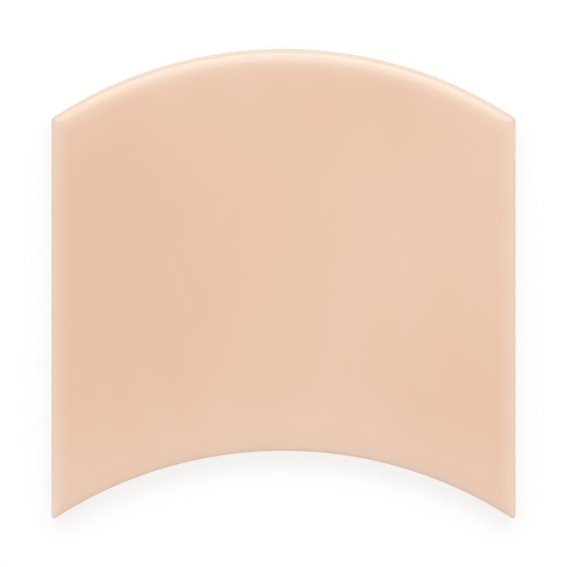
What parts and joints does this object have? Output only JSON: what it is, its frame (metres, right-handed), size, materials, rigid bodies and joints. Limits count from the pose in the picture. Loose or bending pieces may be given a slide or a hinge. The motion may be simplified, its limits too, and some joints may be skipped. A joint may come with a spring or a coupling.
{
  "type": "wave wall tile",
  "caption": "Glazed ceramic wall tile with straight sides, a convex arc at one end and the matching concave arc at the other, pillowed face and grooved back.",
  "frame": {"origin": "middle of the bounding box, on the plane of the back that the tile lies on", "axes": "+Z out of the glazed face, +Y from the concave end towards the convex crest, X across from one straight side to the other"},
  "size_m": [0.12, 0.1214, 0.0085],
  "materials": {
    "glaze": "glossy peach glaze on the face and upper sides, unglazed pale body on the lower sides and back"
  },
  "bodies": {
    "root": {"wave_tile": "glaze"}
  },
  "joints": []
}
